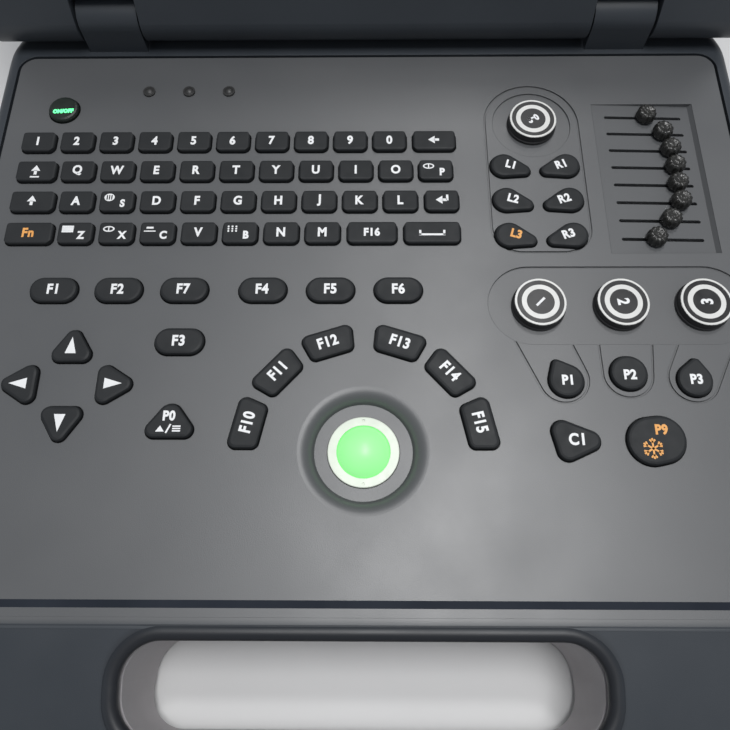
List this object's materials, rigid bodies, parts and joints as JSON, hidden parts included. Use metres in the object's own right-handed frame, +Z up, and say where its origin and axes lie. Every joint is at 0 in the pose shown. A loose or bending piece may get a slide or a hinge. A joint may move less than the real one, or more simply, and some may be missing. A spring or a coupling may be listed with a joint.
{
  "type": "ultrasound scanner",
  "caption": "Portable ultrasound scanner: briefcase base with keyboard, trackball, knobs, gain sliders and carry handle, and a hinged display lid.",
  "frame": {"origin": "middle of the footprint box of the scanner with its lid open, on the surface it stands on", "axes": "+Z up, +Y from the carry handle towards the lid, +X to the right of the person at the keys"},
  "size_m": [0.375, 0.4644, 0.3457],
  "materials": {
    "case_slate": "satin",
    "case_light": "satin",
    "liner_grey": "matte",
    "deck_grey": "satin",
    "key_rubber": "matte",
    "power_green": "matte",
    "knob_black": "satin",
    "cap_black": "gloss",
    "lens_black": "gloss",
    "ball_green": "gloss, lit from within",
    "ring_white": "gloss",
    "soft_rubber": "matte",
    "bezel_black": "matte",
    "screen_black": "anti-glare gloss",
    "port_black": "matte",
    "port_grey": "matte",
    "circuit_board": "solder mask",
    "sheet_metal": "satin",
    "battery_wrap": "matte",
    "plated_steel": "zinc plated"
  },
  "bodies": {
    "base": {"bottom_case": "case_light", "top_case": "case_slate", "deck_panel": "deck_grey", "handle_liner": "liner_grey", "rubber_feet": "soft_rubber", "case_screws": "plated_steel", "rear_panel": "port_black", "io_sockets": "port_black", "probe_sockets": "port_grey", "main_board": "circuit_board", "power_supply": "sheet_metal", "battery_pack": "battery_wrap", "fan_frame": "port_black", "key_board": "circuit_board", "key_sheet": "key_rubber", "trackball_housing": "port_black", "trackball_ring": "ring_white", "slide_pots": "sheet_metal", "indicator_lenses": "lens_black", "speakers": "port_black"},
    "lid": {"lid_back": "case_slate", "lid_bezel": "bezel_black", "lcd_panel": "screen_black", "hinge_pins": "plated_steel", "lid_bumpers": "soft_rubber"},
    "trackball_ball": {"trackball_ball": "ball_green"},
    "fan_rotor": {"fan_rotor": "port_black"},
    "power_key": {"power_key": "power_green"},
    "adjust_knob": {"adjust_knob": "knob_black"},
    "mode_knob_left": {"mode_knob_left": "knob_black"},
    "mode_knob_middle": {"mode_knob_middle": "knob_black"},
    "mode_knob_right": {"mode_knob_right": "knob_black"},
    "tgc_slider_1": {"tgc_slider_1": "cap_black"},
    "tgc_slider_2": {"tgc_slider_2": "cap_black"},
    "tgc_slider_3": {"tgc_slider_3": "cap_black"},
    "tgc_slider_4": {"tgc_slider_4": "cap_black"},
    "tgc_slider_5": {"tgc_slider_5": "cap_black"},
    "tgc_slider_6": {"tgc_slider_6": "cap_black"},
    "tgc_slider_7": {"tgc_slider_7": "cap_black"},
    "tgc_slider_8": {"tgc_slider_8": "cap_black"},
    "key_row_digits": {"key_row_digits": "key_rubber"},
    "key_row_upper": {"key_row_upper": "key_rubber"},
    "key_row_middle": {"key_row_middle": "key_rubber"},
    "key_row_lower": {"key_row_lower": "key_rubber"},
    "arrow_key_up": {"arrow_key_up": "key_rubber"},
    "arrow_key_left": {"arrow_key_left": "key_rubber"},
    "arrow_key_down": {"arrow_key_down": "key_rubber"},
    "arrow_key_right": {"arrow_key_right": "key_rubber"},
    "arc_key_1": {"arc_key_1": "key_rubber"},
    "arc_key_2": {"arc_key_2": "key_rubber"},
    "arc_key_3": {"arc_key_3": "key_rubber"},
    "arc_key_4": {"arc_key_4": "key_rubber"},
    "arc_key_5": {"arc_key_5": "key_rubber"},
    "arc_key_6": {"arc_key_6": "key_rubber"},
    "mode_keys": {"mode_keys": "key_rubber"},
    "adjust_keys": {"adjust_keys": "key_rubber"},
    "option_keys": {"option_keys": "key_rubber"},
    "probe_key": {"probe_key": "key_rubber"},
    "cine_key": {"cine_key": "key_rubber"},
    "freeze_key": {"freeze_key": "key_rubber"}
  },
  "joints": [
    {"name": "lid_hinge", "type": "hinge", "parent": "base", "child": "lid", "pos_m": [0, 0.12311, 0.0712], "axis": [1, 0, 0], "range_deg": [-20, 110]},
    {"name": "adjust_knob_turn", "type": "hinge", "parent": "base", "child": "adjust_knob", "pos_m": [0.0818, 0.06451, 0.058], "axis": [0, 0, 1], "continuous": true},
    {"name": "mode_knob_left_turn", "type": "hinge", "parent": "base", "child": "mode_knob_left", "pos_m": [0.077, -0.03409, 0.058], "axis": [0, 0, 1], "continuous": true},
    {"name": "mode_knob_middle_turn", "type": "hinge", "parent": "base", "child": "mode_knob_middle", "pos_m": [0.113, -0.03409, 0.058], "axis": [0, 0, 1], "continuous": true},
    {"name": "mode_knob_right_turn", "type": "hinge", "parent": "base", "child": "mode_knob_right", "pos_m": [0.149, -0.03409, 0.058], "axis": [0, 0, 1], "continuous": true},
    {"name": "tgc_slider_1_slide", "type": "slide", "parent": "base", "child": "tgc_slider_1", "axis": [1, 0, 0], "range_m": [-0.0158, 0.0142]},
    {"name": "tgc_slider_2_slide", "type": "slide", "parent": "base", "child": "tgc_slider_2", "axis": [1, 0, 0], "range_m": [-0.0226, 0.0074]},
    {"name": "tgc_slider_3_slide", "type": "slide", "parent": "base", "child": "tgc_slider_3", "axis": [1, 0, 0], "range_m": [-0.0249, 0.0051]},
    {"name": "tgc_slider_4_slide", "type": "slide", "parent": "base", "child": "tgc_slider_4", "axis": [1, 0, 0], "range_m": [-0.0256, 0.0044]},
    {"name": "tgc_slider_5_slide", "type": "slide", "parent": "base", "child": "tgc_slider_5", "axis": [1, 0, 0], "range_m": [-0.0253, 0.0047]},
    {"name": "tgc_slider_6_slide", "type": "slide", "parent": "base", "child": "tgc_slider_6", "axis": [1, 0, 0], "range_m": [-0.0253, 0.0047]},
    {"name": "tgc_slider_7_slide", "type": "slide", "parent": "base", "child": "tgc_slider_7", "axis": [1, 0, 0], "range_m": [-0.0192, 0.0108]},
    {"name": "tgc_slider_8_slide", "type": "slide", "parent": "base", "child": "tgc_slider_8", "axis": [1, 0, 0], "range_m": [-0.0112, 0.0188]},
    {"name": "trackball_roll", "type": "hinge", "parent": "base", "child": "trackball_ball", "pos_m": [0, -0.09889, 0.04716], "axis": [1, 0, 0], "continuous": true},
    {"name": "fan_spin", "type": "hinge", "parent": "base", "child": "fan_rotor", "pos_m": [-0.1798, 0.05111, 0.02975], "axis": [1, 0, 0], "continuous": true},
    {"name": "power_key_press", "type": "slide", "parent": "base", "child": "power_key", "axis": [0, 0, 1], "range_m": [-0.001, 0], "stiffness_N_per_m": 600},
    {"name": "key_row_digits_press", "type": "slide", "parent": "base", "child": "key_row_digits", "axis": [0, 0, 1], "range_m": [-0.001, 0], "stiffness_N_per_m": 600},
    {"name": "key_row_upper_press", "type": "slide", "parent": "base", "child": "key_row_upper", "axis": [0, 0, 1], "range_m": [-0.001, 0], "stiffness_N_per_m": 600},
    {"name": "key_row_middle_press", "type": "slide", "parent": "base", "child": "key_row_middle", "axis": [0, 0, 1], "range_m": [-0.001, 0], "stiffness_N_per_m": 600},
    {"name": "key_row_lower_press", "type": "slide", "parent": "base", "child": "key_row_lower", "axis": [0, 0, 1], "range_m": [-0.001, 0], "stiffness_N_per_m": 600},
    {"name": "arrow_key_up_press", "type": "slide", "parent": "base", "child": "arrow_key_up", "axis": [0, 0, 1], "range_m": [-0.001, 0], "stiffness_N_per_m": 600},
    {"name": "arrow_key_left_press", "type": "slide", "parent": "base", "child": "arrow_key_left", "axis": [0, 0, 1], "range_m": [-0.001, 0], "stiffness_N_per_m": 600},
    {"name": "arrow_key_down_press", "type": "slide", "parent": "base", "child": "arrow_key_down", "axis": [0, 0, 1], "range_m": [-0.001, 0], "stiffness_N_per_m": 600},
    {"name": "arrow_key_right_press", "type": "slide", "parent": "base", "child": "arrow_key_right", "axis": [0, 0, 1], "range_m": [-0.001, 0], "stiffness_N_per_m": 600},
    {"name": "arc_key_1_press", "type": "slide", "parent": "base", "child": "arc_key_1", "axis": [0, 0, 1], "range_m": [-0.001, 0], "stiffness_N_per_m": 600},
    {"name": "arc_key_2_press", "type": "slide", "parent": "base", "child": "arc_key_2", "axis": [0, 0, 1], "range_m": [-0.001, 0], "stiffness_N_per_m": 600},
    {"name": "arc_key_3_press", "type": "slide", "parent": "base", "child": "arc_key_3", "axis": [0, 0, 1], "range_m": [-0.001, 0], "stiffness_N_per_m": 600},
    {"name": "arc_key_4_press", "type": "slide", "parent": "base", "child": "arc_key_4", "axis": [0, 0, 1], "range_m": [-0.001, 0], "stiffness_N_per_m": 600},
    {"name": "arc_key_5_press", "type": "slide", "parent": "base", "child": "arc_key_5", "axis": [0, 0, 1], "range_m": [-0.001, 0], "stiffness_N_per_m": 600},
    {"name": "arc_key_6_press", "type": "slide", "parent": "base", "child": "arc_key_6", "axis": [0, 0, 1], "range_m": [-0.001, 0], "stiffness_N_per_m": 600},
    {"name": "mode_keys_press", "type": "slide", "parent": "base", "child": "mode_keys", "axis": [0, 0, 1], "range_m": [-0.001, 0], "stiffness_N_per_m": 600},
    {"name": "adjust_keys_press", "type": "slide", "parent": "base", "child": "adjust_keys", "axis": [0, 0, 1], "range_m": [-0.001, 0], "stiffness_N_per_m": 600},
    {"name": "option_keys_press", "type": "slide", "parent": "base", "child": "option_keys", "axis": [0, 0, 1], "range_m": [-0.001, 0], "stiffness_N_per_m": 600},
    {"name": "probe_key_press", "type": "slide", "parent": "base", "child": "probe_key", "axis": [0, 0, 1], "range_m": [-0.001, 0], "stiffness_N_per_m": 600},
    {"name": "cine_key_press", "type": "slide", "parent": "base", "child": "cine_key", "axis": [0, 0, 1], "range_m": [-0.001, 0], "stiffness_N_per_m": 600},
    {"name": "freeze_key_press", "type": "slide", "parent": "base", "child": "freeze_key", "axis": [0, 0, 1], "range_m": [-0.001, 0], "stiffness_N_per_m": 600}
  ]
}
